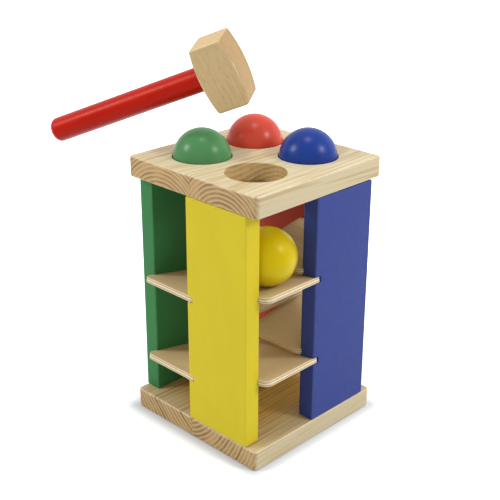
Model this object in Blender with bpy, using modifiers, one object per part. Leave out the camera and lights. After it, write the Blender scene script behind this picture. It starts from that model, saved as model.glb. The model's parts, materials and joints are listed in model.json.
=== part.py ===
# Pound and roll tower: a wooden toy. Balls are hammered through gripping holes in the top
# and roll down a spiral stair of plywood ramps, out at the base.
# Metres. The origin is the centre of the base's underside, with +Z up. +X runs from the
# front corner to the right corner, and +Y from the front corner to the left corner.

import math

import bmesh
import bpy
from mathutils import Euler, Matrix, Vector

# Clearances
FIT = 0.0003  # gap left between pieces that touch
CUT = 0.004  # how far a cutter runs past the face that it opens
BALL_PLAY = 0.0010  # hole diameter over ball diameter
DROP_CLEARANCE = 0.0036  # falling ball to the inner face of a board
DOORWAY_PLAY = 0.0055  # doorway width over ball diameter
SLOT_PLAY = 0.0007  # depth of a ramp's slot past the end of its tongue
STEP_GAP = 0.0013  # lower end of a ramp over the next ramp
EXIT_GAP = 0.0031  # lower end of the last ramp over the base

# Balls, holes and the soft rings that grip the balls
BALL_DIAMETER = 0.049
HOLE_EASE = 0.0008
HOLE_WEB = 0.0084  # wood left between two neighbouring ring seats
RING_GRIP = 0.0045  # how far the ring reaches in under the ball, at each side
RING_LEDGE = 0.0017  # how far the ring reaches out past the hole, at each side
RING_THICK = 0.0020

# Top and base plates
TOP_THICK = 0.018
BASE_THICK = 0.018
PLATE_CORNER = 0.0040
PLATE_EASE = 0.0015
STAVE_JOINT = 0.0025  # glue joint along the top, to the left of its middle
END_JOINT = 0.0  # joint across the top, so that each hole has a block of its own

# Four boards set as a pinwheel between the plates
BOARD_HEIGHT = 0.204
BOARD_THICK = 0.0155
BOARD_INSET = 0.0113  # corner of the plate to the near edge of the board
BOARD_EASE = 0.0012

# Eight ramps, each a quarter turn on from the one above
RAMP_COUNT = 8
RAMP_THICK = 0.0048
RAMP_SLOPE = math.radians(10.5)
RAMP_OVERHANG = 0.0080  # lower end of a ramp past the middle of the tower
RAMP_CORNER = 0.0060  # rounding of the two corners by the dado
TONGUE_CORNER = 0.0020  # rounding of the two corners on the slot's side
RAMP_EASE = 0.0004
DADO_DEPTH = 0.0015  # how deep a ramp's long edge sits in the board beside it
TONGUE = 0.0056  # how deep a ramp's corner sits in the edge of the next board

# Dowels in the top ends of the boards, screws in their bottom ends, two each
FASTENER_SPREAD = 0.040
DOWEL_DIAMETER = 0.008
DOWEL_LENGTH = 0.030
DOWEL_IN_TOP = 0.012
DOWEL_CHAMFER = 0.001
SCREW_DIAMETER = 0.004
SCREW_HEAD_DIAMETER = 0.008
SCREW_LENGTH = 0.045
SCREW_TIP = 0.006
SCREW_SINK = 0.0005  # head below the underside of the base

# The dropped ball, on the second ramp
DROPPED_BALL_IN = 0.0268  # ball's centre in from the outer face of the tower

# Hammer, raised over the balls
HEAD_LENGTH = 0.058
HEAD_END_WIDTH = 0.0275
HEAD_BULGE = 0.0035  # swell of each barrel side at its middle
HEAD_THICK = 0.0300
HEAD_EASE = 0.0022
HANDLE_DIAMETER = 0.021
HANDLE_LENGTH = 0.170
HANDLE_IN_HEAD = 0.020
HANDLE_ROUND = 0.005
GRIP_FROM_END = 0.025  # hand's turning point from the free end of the handle
HEAD_CENTRE = Vector((-0.0175, 0.0196, 0.3105))
HAMMER_TURN = Euler((math.radians(11.6), math.radians(-22.3), math.radians(-62.8)))

# Facets
CORNER_STEPS = 4
EASE_STEPS = 2
HOLE_STEPS = 40
HANDLE_STEPS = 24
FASTENER_STEPS = 12
BALL_SEGMENTS = 32
BALL_RINGS = 16
ARC_STEPS = 10

# Sizes that follow from those above
BALL_RADIUS = BALL_DIAMETER / 2
HOLE_RADIUS = (BALL_DIAMETER + BALL_PLAY) / 2
RING_BORE_RADIUS = BALL_RADIUS - RING_GRIP
RING_OUTER_RADIUS = HOLE_RADIUS + RING_LEDGE
RING_SEAT_RADIUS = RING_OUTER_RADIUS + FIT
HOLE_OFFSET = RING_SEAT_RADIUS + HOLE_WEB / 2
PLATE_HALF = HOLE_OFFSET + BALL_RADIUS + DROP_CLEARANCE + BOARD_THICK
INNER_FACE = PLATE_HALF - BOARD_THICK
DOORWAY = BALL_DIAMETER + DOORWAY_PLAY
BOARD_NEAR_EDGE = DOORWAY - INNER_FACE
BOARD_FAR_EDGE = PLATE_HALF - BOARD_INSET
BOARD_WIDTH = BOARD_FAR_EDGE - BOARD_NEAR_EDGE
BOARD_MIDDLE = (BOARD_FAR_EDGE + BOARD_NEAR_EDGE) / 2
BOARD_LINE = PLATE_HALF - BOARD_THICK / 2
TOP_UNDERSIDE = BASE_THICK + BOARD_HEIGHT
TOWER_HEIGHT = TOP_UNDERSIDE + TOP_THICK
FALL = math.tan(RAMP_SLOPE)
RAMP_DEPTH = RAMP_THICK / math.cos(RAMP_SLOPE)
RAMP_LEFT = -INNER_FACE - DADO_DEPTH
RAMP_RIGHT = BOARD_NEAR_EDGE + TONGUE
RAMP_PITCH = FALL * (INNER_FACE + RAMP_OVERHANG) + RAMP_DEPTH + STEP_GAP
LAST_RAMP_TOP = BASE_THICK + EXIT_GAP + RAMP_DEPTH + FALL * (PLATE_HALF + RAMP_OVERHANG)
SEATED_BALL_RISE = math.sqrt((BALL_RADIUS + FIT) ** 2 - RING_BORE_RADIUS**2)

# One quarter of the tower per face: the turn about Z that brings the first quarter there
QUARTERS = {"blue": 0, "red": 1, "green": 2, "yellow": 3}
HOLES = {"front": (-1, -1), "right": (1, -1), "back": (1, 1), "left": (-1, 1)}
HOLE_OVER = {"blue": "right", "red": "back", "green": "left", "yellow": "front"}
SEATED_BALLS = {"blue": "right", "red": "back", "green": "left"}

PAINTS = {
    "yellow": (0.66, 0.50, 0.045),
    "blue": (0.055, 0.075, 0.31),
    "red": (0.55, 0.035, 0.020),
    "green": (0.050, 0.215, 0.075),
}


def clear_scene():
    for old in list(bpy.data.objects):
        bpy.data.objects.remove(old, do_unlink=True)


def new_collection(name):
    collection = bpy.data.collections.new(name)
    bpy.context.scene.collection.children.link(collection)
    return collection


clear_scene()
PARTS = new_collection("pound_and_roll_tower")
CUTTERS = new_collection("cutters")


def finish(name, colour, roughness, metallic=0.0):
    material = bpy.data.materials.new(name)
    material.use_nodes = True
    shader = material.node_tree.nodes["Principled BSDF"]
    shader.inputs["Base Color"].default_value = (*colour, 1.0)
    shader.inputs["Roughness"].default_value = roughness
    shader.inputs["Metallic"].default_value = metallic
    return material


PINE = finish("pine", (0.78, 0.60, 0.36), 0.55)
PLYWOOD = finish("plywood", (0.70, 0.53, 0.32), 0.60)
BEECH = finish("beech", (0.52, 0.36, 0.18), 0.50)
RUBBER = finish("rubber", (0.26, 0.16, 0.055), 0.80)
STEEL = finish("zinc_steel", (0.60, 0.58, 0.52), 0.35, 1.0)
PAINT = {name: finish(name + "_paint", colour, 0.35) for name, colour in PAINTS.items()}


def add(name, mesh, material=None, parent=None):
    obj = bpy.data.objects.new(name, mesh)
    obj.parent = parent
    if material is None:
        CUTTERS.objects.link(obj)
        obj.hide_render = True
        obj.display_type = "WIRE"
    else:
        PARTS.objects.link(obj)
        obj.data.materials.append(material)
    return obj


def add_empty(name, location=(0, 0, 0), turn=(0, 0, 0)):
    empty = bpy.data.objects.new(name, None)
    empty.location = location
    empty.rotation_euler = turn
    PARTS.objects.link(empty)
    return empty


def ease_edges(obj, width):
    bevel = obj.modifiers.new("eased_edges", "BEVEL")
    bevel.width = width
    bevel.segments = EASE_STEPS
    bevel.limit_method = "ANGLE"
    bevel.angle_limit = math.radians(40)


def block_mesh(name, size, left_corner=0.0, right_corner=0.0):
    # A block about its own middle, with the upright edges on its -X and +X sides rounded
    shape = bmesh.new()
    bmesh.ops.create_cube(shape, size=1.0, matrix=Matrix.Diagonal((*size, 1.0)))
    half = size[2] / 2
    for side, corner in ((-1, left_corner), (1, right_corner)):
        if corner:
            upright = [e for e in shape.edges if abs(e.verts[0].co.z - e.verts[1].co.z) > half]
            rounded = [e for e in upright if e.verts[0].co.x * side > 0.499 * size[0]]
            bmesh.ops.bevel(
                shape, geom=rounded, offset=corner, segments=CORNER_STEPS, profile=0.5, affect="EDGES"
            )
    mesh = bpy.data.meshes.new(name)
    shape.to_mesh(mesh)
    shape.free()
    return mesh


def turned(name, profile, steps, material=None, parent=None, closed=False):
    # Radius and height pairs, down the outer side, turned about Z
    mesh = bpy.data.meshes.new(name)
    links = [(i, i + 1) for i in range(len(profile) - 1)]
    if closed:
        links.append((len(profile) - 1, 0))
    mesh.from_pydata([(radius, 0, height) for radius, height in profile], links, [])
    obj = add(name, mesh, material, parent)
    screw = obj.modifiers.new("turned", "SCREW")
    screw.steps = steps
    screw.render_steps = steps
    screw.use_merge_vertices = True
    screw.merge_threshold = 0.00001
    screw.use_smooth_shade = True
    return obj


def cut(obj, cutter):
    boolean = obj.modifiers.new(cutter.name, "BOOLEAN")
    boolean.operation = "DIFFERENCE"
    boolean.object = cutter


def rod_cutter(name, radius, low, high, steps, parent):
    return turned(name, [(0, high), (radius, high), (radius, low), (0, low)], steps, None, parent)


def plate(name, thick, bottom):
    side = 2 * PLATE_HALF
    obj = add(name, block_mesh(name, (side, side, thick), PLATE_CORNER, PLATE_CORNER), PINE)
    obj.location.z = bottom + thick / 2
    ease_edges(obj, PLATE_EASE)
    return obj


def top_block(hole, sides):
    # A whole plate, sawn along the two joints to leave the corner with this hole
    name = f"top_{hole}_block"
    obj = plate(name, TOP_THICK, TOP_UNDERSIDE)
    reach = PLATE_HALF + CUT
    for axis, joint in enumerate((END_JOINT, STAVE_JOINT)):
        edge = joint + sides[axis] * FIT / 2
        size = [2 * reach, 2 * reach, TOP_THICK + 2 * CUT]
        size[axis] = reach + sides[axis] * edge
        saw = add(f"{name}_saw", block_mesh(name, size))
        saw.location.z = TOP_UNDERSIDE + TOP_THICK / 2
        saw.location[axis] = (edge - sides[axis] * reach) / 2
        cut(obj, saw)
    return obj


def fastener_places():
    # Two in line along the middle of each board, in the first quarter's own place
    for number, side in enumerate((-1, 1), start=1):
        yield number, BOARD_MIDDLE + side * FASTENER_SPREAD / 2, -BOARD_LINE


def top_hole_cutter(hole, x, y):
    # Eased rim, straight wall, then the wider seat for the ring in the underside
    seat = TOP_UNDERSIDE + FIT + RING_THICK + FIT
    rim = HOLE_RADIUS + HOLE_EASE + CUT
    profile = [
        (0, TOWER_HEIGHT + CUT),
        (rim, TOWER_HEIGHT + CUT),
        (HOLE_RADIUS, TOWER_HEIGHT - HOLE_EASE),
        (HOLE_RADIUS, seat),
        (RING_SEAT_RADIUS, seat),
        (RING_SEAT_RADIUS, TOP_UNDERSIDE - CUT),
        (0, TOP_UNDERSIDE - CUT),
    ]
    cutter = turned(f"{hole}_hole_cutter", profile, HOLE_STEPS)
    cutter.location = (x, y, 0)
    return cutter


def grip_ring(hole, x, y):
    low = TOP_UNDERSIDE + FIT
    high = low + RING_THICK
    profile = [
        (RING_BORE_RADIUS, high),
        (RING_OUTER_RADIUS, high),
        (RING_OUTER_RADIUS, low),
        (RING_BORE_RADIUS, low),
    ]
    ring = turned(f"{hole}_grip_ring", profile, HOLE_STEPS, RUBBER, closed=True)
    ring.location = (x, y, 0)


def ball(colour, location):
    mesh = bpy.data.meshes.new(f"{colour}_ball")
    shape = bmesh.new()
    bmesh.ops.create_uvsphere(
        shape, u_segments=BALL_SEGMENTS, v_segments=BALL_RINGS, radius=BALL_RADIUS
    )
    shape.to_mesh(mesh)
    shape.free()
    mesh.shade_smooth()
    obj = add(f"{colour}_ball", mesh, PAINT[colour])
    obj.location = location


def ramp_top(number):
    # Height of a ramp's upper face at the outer face of the tower
    return LAST_RAMP_TOP + (RAMP_COUNT - number) * RAMP_PITCH


def ramp_block(name, number, left, right, grow, run_on, corners, material, parent):
    # A flat block lying in the ramp's slope: grow thickens it, run_on lengthens both ends
    thick = RAMP_THICK + 2 * grow
    upper = -PLATE_HALF + RAMP_THICK * math.sin(RAMP_SLOPE)
    length = (RAMP_OVERHANG - upper) / math.cos(RAMP_SLOPE) + 2 * run_on
    obj = add(name, block_mesh(name, (right - left, length, thick), *corners), material, parent)
    middle = (RAMP_OVERHANG + upper) / 2
    drop = RAMP_DEPTH / 2
    obj.location = ((left + right) / 2, middle, ramp_top(number) - FALL * (middle + PLATE_HALF) - drop)
    obj.rotation_euler.x = -RAMP_SLOPE
    obj.location.y -= drop * math.sin(RAMP_SLOPE) * math.cos(RAMP_SLOPE)
    obj.location.z += drop * math.sin(RAMP_SLOPE) ** 2
    return obj


def build_ramp(number, quarter, own_board, side_board):
    corners = (RAMP_CORNER, TONGUE_CORNER)
    name = f"ramp_{number}"
    ramp = ramp_block(name, number, RAMP_LEFT, RAMP_RIGHT, 0.0, 0.0, corners, PLYWOOD, quarter)
    ease_edges(ramp, RAMP_EASE)
    slot_end = RAMP_RIGHT + SLOT_PLAY
    slot_start = BOARD_NEAR_EDGE - CUT
    slot = ramp_block(f"slot_{number}", number, slot_start, slot_end, FIT, CUT, (), None, quarter)
    cut(own_board, slot)
    dado_end = -INNER_FACE + CUT
    dado_start = RAMP_LEFT - FIT
    dado = ramp_block(f"dado_{number}", number, dado_start, dado_end, FIT, CUT, (), None, quarter)
    cut(side_board, dado)


def build_board(colour, quarter):
    height = BOARD_HEIGHT - 2 * FIT
    size = (BOARD_WIDTH, BOARD_THICK, height)
    board = add(f"{colour}_side_board", block_mesh(colour, size), PAINT[colour], quarter)
    board.location = (BOARD_MIDDLE, -BOARD_LINE, BASE_THICK + BOARD_HEIGHT / 2)
    ease_edges(board, BOARD_EASE)
    return board


def fasten_board(colour, quarter, board, top, base):
    dowel_low = TOP_UNDERSIDE - (DOWEL_LENGTH - DOWEL_IN_TOP)
    dowel_high = TOP_UNDERSIDE + DOWEL_IN_TOP
    radius = DOWEL_DIAMETER / 2
    dowel = [
        (0, dowel_high),
        (radius - DOWEL_CHAMFER, dowel_high),
        (radius, dowel_high - DOWEL_CHAMFER),
        (radius, dowel_low + DOWEL_CHAMFER),
        (radius - DOWEL_CHAMFER, dowel_low),
        (0, dowel_low),
    ]
    head_low = SCREW_SINK
    shank = SCREW_DIAMETER / 2
    head = SCREW_HEAD_DIAMETER / 2
    neck = head_low + head - shank
    tip = head_low + SCREW_LENGTH
    screw = [(0, tip), (shank, tip - SCREW_TIP), (shank, neck), (head, head_low), (0, head_low)]
    sink = [
        (0, tip + FIT),
        (shank + FIT, tip + FIT),
        (shank + FIT, neck + FIT),
        (head + FIT, head_low + FIT),
        (head + FIT, -CUT),
        (0, -CUT),
    ]
    for number, x, y in fastener_places():
        name = f"{colour}_board_dowel_{number}"
        piece = turned(name, dowel, FASTENER_STEPS, BEECH, quarter)
        low, high = dowel_low - FIT, dowel_high + FIT
        hole = rod_cutter(name + "_hole", radius + FIT, low, high, FASTENER_STEPS, quarter)
        piece.location = hole.location = (x, y, 0)
        cut(board, hole)
        cut(top, hole)
        name = f"{colour}_board_screw_{number}"
        piece = turned(name, screw, FASTENER_STEPS, STEEL, quarter)
        hole = turned(name + "_hole", sink, FASTENER_STEPS, None, quarter)
        piece.location = hole.location = (x, y, 0)
        cut(board, hole)
        cut(base, hole)


def build_tower():
    base = plate("base_plate", BASE_THICK, 0.0)
    blocks = {}
    for hole, (x, y) in HOLES.items():
        blocks[hole] = top_block(hole, (x, y))
        cut(blocks[hole], top_hole_cutter(hole, x * HOLE_OFFSET, y * HOLE_OFFSET))
        grip_ring(hole, x * HOLE_OFFSET, y * HOLE_OFFSET)
    quarters = []
    boards = []
    for colour, turns in QUARTERS.items():
        quarter = add_empty(f"{colour}_quarter", turn=(0, 0, turns * math.pi / 2))
        board = build_board(colour, quarter)
        fasten_board(colour, quarter, board, blocks[HOLE_OVER[colour]], base)
        quarters.append(quarter)
        boards.append(board)
    for number in range(1, RAMP_COUNT + 1):
        lane = (2 - number) % len(quarters)
        build_ramp(number, quarters[lane], boards[lane], boards[lane - 1])


def build_balls():
    seat = TOP_UNDERSIDE + FIT + RING_THICK
    for colour, hole in SEATED_BALLS.items():
        x, y = HOLES[hole]
        ball(colour, (x * HOLE_OFFSET, y * HOLE_OFFSET, seat + SEATED_BALL_RISE))
    y = DROPPED_BALL_IN - PLATE_HALF
    rise = (BALL_RADIUS + FIT) / math.cos(RAMP_SLOPE)
    z = ramp_top(2) - FALL * DROPPED_BALL_IN + rise
    ball("yellow", (BALL_RADIUS + FIT - INNER_FACE, y, z))


def head_outline():
    # Barrel sides as arcs through the swell, joined by flat striking ends
    half = HEAD_LENGTH / 2
    radius = (half**2 + HEAD_BULGE**2) / (2 * HEAD_BULGE)
    reach = math.asin(half / radius)
    middle = HEAD_END_WIDTH / 2 + HEAD_BULGE - radius
    right = []
    for step in range(ARC_STEPS + 1):
        angle = reach * (2 * step / ARC_STEPS - 1)
        right.append((middle + radius * math.cos(angle), radius * math.sin(angle)))
    return right + [(-x, -y) for x, y in right]


def outline_mesh(name, outline, thick):
    # A flat outline filled and given its thickness, as a closed mesh
    curve = bpy.data.curves.new(name, "CURVE")
    curve.dimensions = "2D"
    curve.fill_mode = "BOTH"
    curve.extrude = thick / 2
    spline = curve.splines.new("POLY")
    spline.points.add(len(outline) - 1)
    spline.use_cyclic_u = True
    for point, (x, y) in zip(spline.points, outline):
        point.co = (x, y, 0, 1)
    guide = bpy.data.objects.new(name, curve)
    bpy.context.scene.collection.objects.link(guide)
    graph = bpy.context.evaluated_depsgraph_get()
    mesh = bpy.data.meshes.new_from_object(guide.evaluated_get(graph))
    bpy.data.objects.remove(guide)
    shape = bmesh.new()
    shape.from_mesh(mesh)
    bmesh.ops.remove_doubles(shape, verts=shape.verts, dist=0.00001)
    bmesh.ops.dissolve_limit(
        shape, angle_limit=math.radians(0.5), verts=shape.verts, edges=shape.edges
    )
    bmesh.ops.recalc_face_normals(shape, faces=shape.faces)
    shape.to_mesh(mesh)
    shape.free()
    return mesh


def build_hammer():
    # The empty is the hand's turning point: its X runs up the handle, its Y is the swing axis
    entry = HEAD_END_WIDTH / 2 + HEAD_BULGE
    free_end = HANDLE_LENGTH - HANDLE_IN_HEAD + entry
    reach = free_end - GRIP_FROM_END
    pivot = HEAD_CENTRE - HAMMER_TURN.to_matrix() @ Vector((reach, 0, 0))
    grip = add_empty("hammer_grip", pivot, HAMMER_TURN)

    head = add("hammer_head", outline_mesh("hammer_head", head_outline(), HEAD_THICK), BEECH, grip)
    head.location.x = reach
    head.rotation_euler.x = math.pi / 2
    ease_edges(head, HEAD_EASE)

    radius = HANDLE_DIAMETER / 2
    top = HANDLE_LENGTH - GRIP_FROM_END
    profile = [(0, top), (radius, top)]
    for step in range(CORNER_STEPS + 1):
        angle = step / CORNER_STEPS * math.pi / 2
        inset = HANDLE_ROUND * (1 - math.cos(angle))
        profile.append((radius - inset, HANDLE_ROUND * (1 - math.sin(angle)) - GRIP_FROM_END))
    profile.append((0, -GRIP_FROM_END))
    handle = turned("hammer_handle", profile, HANDLE_STEPS, PAINT["red"], grip)
    handle.rotation_euler.y = math.pi / 2

    mouth = top - HANDLE_IN_HEAD - CUT
    bore = rod_cutter("hammer_bore", radius + FIT, mouth, top + FIT, HANDLE_STEPS, grip)
    bore.rotation_euler.y = math.pi / 2
    cut(head, bore)


build_tower()
build_balls()
build_hammer()
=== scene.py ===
import json
import math

import bmesh
import bpy
import numpy as np
from mathutils import Matrix, Quaternion, Vector, noise


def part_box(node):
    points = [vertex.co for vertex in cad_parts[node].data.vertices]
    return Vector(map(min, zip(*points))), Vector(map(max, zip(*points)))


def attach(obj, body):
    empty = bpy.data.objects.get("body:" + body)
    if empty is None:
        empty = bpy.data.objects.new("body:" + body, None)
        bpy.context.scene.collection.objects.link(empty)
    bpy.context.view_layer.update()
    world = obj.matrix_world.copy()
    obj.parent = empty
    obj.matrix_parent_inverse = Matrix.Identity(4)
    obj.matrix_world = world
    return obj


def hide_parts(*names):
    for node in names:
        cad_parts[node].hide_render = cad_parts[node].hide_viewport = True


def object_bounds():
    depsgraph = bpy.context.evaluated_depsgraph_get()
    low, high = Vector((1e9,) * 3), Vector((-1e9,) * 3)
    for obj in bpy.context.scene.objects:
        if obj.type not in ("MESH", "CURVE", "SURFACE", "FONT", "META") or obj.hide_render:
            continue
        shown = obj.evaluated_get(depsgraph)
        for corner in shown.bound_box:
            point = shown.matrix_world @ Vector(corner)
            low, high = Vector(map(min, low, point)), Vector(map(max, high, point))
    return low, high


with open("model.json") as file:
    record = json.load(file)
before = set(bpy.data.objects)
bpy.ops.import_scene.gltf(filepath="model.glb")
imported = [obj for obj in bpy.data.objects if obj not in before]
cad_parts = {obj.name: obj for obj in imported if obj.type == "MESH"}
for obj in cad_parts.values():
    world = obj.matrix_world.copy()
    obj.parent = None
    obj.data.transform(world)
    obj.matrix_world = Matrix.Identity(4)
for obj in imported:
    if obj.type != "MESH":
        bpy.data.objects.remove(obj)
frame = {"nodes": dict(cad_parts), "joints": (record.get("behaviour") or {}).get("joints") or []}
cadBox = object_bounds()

# Pound and roll tower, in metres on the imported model's own frame: the camera stands at -X -Y.
mm = 0.001
quarterTurn = math.pi / 2
scene = bpy.context.scene
joints = {joint["name"]: joint for joint in frame["joints"]}
colours = ("blue", "red", "green", "yellow")  # the boards in turn, a quarter turn apart
print("frame loaded:", len(frame["nodes"]), "nodes")


def linear(red, green, blue):  # a screen colour, 0 to 255, as linear light
    def one(value):
        value = value / 255
        return value / 12.92 if value <= 0.04045 else ((value + 0.055) / 1.055) ** 2.4

    return (one(red), one(green), one(blue), 1.0)


# Camera

cameraSet = {
    "place": (-0.56808, -0.55279, 0.48672),
    "target": (-0.00283, 0.00286, 0.16344),
    "lens": 71.54,
    "sensor": 36.0,
    "shiftY": -0.0189,
    "roll": 0.209,  # degrees, the photo stands a hair off upright
}


def aim(thing, target, roll=0.0):
    towards = Vector(target) - thing.location
    turn = towards.to_track_quat("-Z", "Y") @ Quaternion((0, 0, 1), math.radians(roll))
    thing.rotation_euler = turn.to_euler()


def makeCamera(look):
    data = bpy.data.cameras.new("photoCamera")
    data.lens = look["lens"]
    data.sensor_width = look["sensor"]
    data.shift_y = look["shiftY"]
    data.clip_start = 0.01
    camera = bpy.data.objects.new("photoCamera", data)
    camera.location = look["place"]
    aim(camera, look["target"], look["roll"])
    scene.collection.objects.link(camera)
    scene.camera = camera


makeCamera(cameraSet)
scene.view_settings.view_transform = "Standard"


# Node helpers, for shader trees and geometry trees alike

noiseSpan = (0.3, 0.7)  # where most of a noise's values lie


def put(tree, kind, feeds=None, **settings):  # a node with its settings, and what feeds each input
    node = tree.nodes.new(kind)
    for name, value in settings.items():
        setattr(node, name, value)
    for key, value in (feeds or {}).items():
        if isinstance(value, bpy.types.NodeSocket):
            tree.links.new(value, node.inputs[key])
        else:
            node.inputs[key].default_value = value
    return node


def calc(tree, operation, first, second=0.0, clamp=False):
    feeds = {0: first, 1: second}
    return put(tree, "ShaderNodeMath", feeds, operation=operation, use_clamp=clamp).outputs[0]


def plus(tree, first, second, clamp=False):
    return calc(tree, "ADD", first, second, clamp)


def minus(tree, first, second, clamp=False):
    return calc(tree, "SUBTRACT", first, second, clamp)


def times(tree, first, second):
    return calc(tree, "MULTIPLY", first, second)


def unsigned(tree, value):
    return calc(tree, "ABSOLUTE", value)


def vec(tree, operation, first, second=(0, 0, 0), give="Vector"):
    return put(tree, "ShaderNodeVectorMath", {0: first, 1: second}, operation=operation).outputs[give]


def parts(tree, vector):  # its X, Y and Z
    return put(tree, "ShaderNodeSeparateXYZ", {0: vector}).outputs


def joined(tree, x=0.0, y=0.0, z=0.0):
    return put(tree, "ShaderNodeCombineXYZ", {0: x, 1: y, 2: z}).outputs[0]


def smooth(tree, value, low, high, start=0.0, end=1.0):
    feeds = {"Value": value, "From Min": low, "From Max": high, "To Min": start, "To Max": end}
    return put(tree, "ShaderNodeMapRange", feeds, interpolation_type="SMOOTHSTEP").outputs[0]


def blendValue(tree, share, first, second):
    return put(tree, "ShaderNodeMix", {0: share, 2: first, 3: second}, data_type="FLOAT").outputs[0]


def blendColour(tree, share, first, second, how="MIX"):
    feeds = {0: share, 6: first, 7: second}
    return put(tree, "ShaderNodeMix", feeds, data_type="RGBA", blend_type=how).outputs[2]


def speckle(tree, vector, stretch, detail=2.0, roughness=0.5):  # soft noise, stretch in cells per metre
    scaled = vec(tree, "MULTIPLY", vector, stretch)
    feeds = {"Vector": scaled, "Scale": 1.0, "Detail": detail, "Roughness": roughness}
    return put(tree, "ShaderNodeTexNoise", feeds, noise_dimensions="3D").outputs[0]


def newGroup(name, takes, gives, kind="ShaderNodeTree"):
    tree = bpy.data.node_groups.new(name, kind)
    for label, (socket, start) in takes.items():
        made = tree.interface.new_socket(label, in_out="INPUT", socket_type="NodeSocket" + socket)
        if start is not None:
            made.default_value = start
    given = "NodeSocketGeometry" if kind == "GeometryNodeTree" else "NodeSocketFloat"
    for label in gives:
        tree.interface.new_socket(label, in_out="OUTPUT", socket_type=given)
    return tree, put(tree, "NodeGroupInput").outputs, put(tree, "NodeGroupOutput").inputs


def useGroup(tree, group, feeds):
    return put(tree, "ShaderNodeGroup", feeds, node_tree=group).outputs


# Effects that several finishes share

ringSet = {  # noises in cells per metre, along the stem and across; ranges as smooth takes them
    "sway": (7, 26, 26),
    "ripple": (16, 130, 130),
    "rippleReach": 1.1 * mm,
    "rise": (0.08, 0.72),
    "fall": (0.78, 1.0, 1.0, 0.0),
    "strength": (0.0, 1.0, 0.5, 1.0),
    "fade": (11, 60, 60),
    "faded": (0.30, 0.62, 0.45, 1.0),
    "coarseFibre": (22, 520, 520),
    "fineFibre": (90, 2300, 2300),
    "line": (5, 430, 430),
    "lineSpan": (0.52, 0.66),
}


def makeGrowthRings(look):  # a tree's year rings about the X axis, with fibres along it
    takes = {
        "Vector": ("Vector", (0, 0, 0)),
        "Ring Gap": ("Float", 3 * mm),
        "Wander": ("Float", 2 * mm),
        "Slowing": ("Float", 8.0),  # how fast the rings close up, away from the heart
    }
    tree, has, out = newGroup("growthRings", takes, ("Late", "Fibre", "Line", "Height"))
    stem = has["Vector"]
    sway = times(tree, minus(tree, speckle(tree, stem, look["sway"]), 0.5), has["Wander"])
    ripple = times(tree, minus(tree, speckle(tree, stem, look["ripple"]), 0.5), look["rippleReach"])
    radius = vec(tree, "LENGTH", vec(tree, "MULTIPLY", stem, (0, 1, 1)), give="Value")
    radius = plus(tree, plus(tree, radius, sway), ripple)
    closing = plus(tree, times(tree, radius, has["Slowing"]), 1.0)
    ringCount = calc(tree, "DIVIDE", times(tree, radius, closing), has["Ring Gap"])
    phase = calc(tree, "FRACT", ringCount)
    year = {"W": calc(tree, "FLOOR", ringCount)}
    weather = put(tree, "ShaderNodeTexWhiteNoise", year, noise_dimensions="1D").outputs["Value"]
    strength = smooth(tree, weather, *look["strength"])
    faded = smooth(tree, speckle(tree, stem, look["fade"], 1.0), *look["faded"])
    rise = smooth(tree, phase, *look["rise"])
    fall = smooth(tree, phase, *look["fall"])
    late = times(tree, times(tree, rise, fall), times(tree, strength, faded))
    coarse = speckle(tree, stem, look["coarseFibre"], 3.0, 0.6)
    fine = speckle(tree, stem, look["fineFibre"], 2.0, 0.6)
    fibre = plus(tree, times(tree, coarse, 0.6), times(tree, fine, 0.4))
    line = smooth(tree, speckle(tree, stem, look["line"]), *look["lineSpan"])
    height = plus(tree, times(tree, fibre, 0.7), times(tree, late, 0.3))
    for made, slot in zip((late, fibre, line, height), out):
        tree.links.new(made, slot)
    return tree


def makeEdgeWearAndHighlight():  # a mask near the edges of a block whose middle is the vector's origin, for wear and for a painted highlight along the edges
    takes = {
        "Vector": ("Vector", (0, 0, 0)),
        "Half Size": ("Vector", (0.1, 0.1, 0.1)),
        "Width": ("Float", 2 * mm),
        "Raggedness": ("Float", 0.5),
    }
    tree, has, out = newGroup("edgeWearAndHighlight", takes, ["Edge"])
    inside = parts(tree, vec(tree, "SUBTRACT", has["Half Size"], vec(tree, "ABSOLUTE", has["Vector"])))
    least = calc(tree, "MINIMUM", inside[0], inside[1])
    most = calc(tree, "MAXIMUM", inside[0], inside[1])
    toEdge = calc(tree, "MAXIMUM", least, calc(tree, "MINIMUM", most, inside[2]))  # the middle one of three
    ragged = minus(tree, speckle(tree, has["Vector"], (190, 190, 190), 4.0, 0.7), 0.5)
    pushed = times(tree, times(tree, ragged, has["Raggedness"]), has["Width"])
    reach = plus(tree, toEdge, times(tree, pushed, 4.0))
    tree.links.new(smooth(tree, reach, 0.0, has["Width"], 1.0, 0.0), out["Edge"])
    return tree


def makePaintSkin():  # paint over sanded wood, with streaks along Z
    takes = {"Vector": ("Vector", (0, 0, 0)), "Streak": ("Float", 0.5)}
    tree, has, out = newGroup("paintSkin", takes, ("Tone", "Gloss", "Height"))
    cloud = speckle(tree, has["Vector"], (34, 34, 20))
    streak = speckle(tree, has["Vector"], (760, 760, 16), 2.0, 0.55)
    peel = speckle(tree, has["Vector"], (210, 210, 210), 1.0)
    tone = blendValue(tree, times(tree, has["Streak"], 0.6), cloud, streak)
    gloss = plus(tree, times(tree, peel, 0.5), times(tree, cloud, 0.5))
    height = plus(tree, times(tree, streak, has["Streak"]), times(tree, peel, 0.45))
    for made, slot in zip((tone, gloss, height), out):
        tree.links.new(made, slot)
    return tree


growthRings = makeGrowthRings(ringSet)
edgeWearAndHighlight = makeEdgeWearAndHighlight()
paintSkin = makePaintSkin()
print("shared effects ready")


# Finishes


def newFinish(name, metallic=0.0, specular=0.5, tint=(1, 1, 1)):
    finish = bpy.data.materials.new(name)
    finish.use_nodes = True
    tree = finish.node_tree
    shader = tree.nodes["Principled BSDF"]
    shader.inputs["Metallic"].default_value = metallic
    shader.inputs["Specular IOR Level"].default_value = specular
    shader.inputs["Specular Tint"].default_value = (*tint, 1.0)
    return finish, tree, shader


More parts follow.
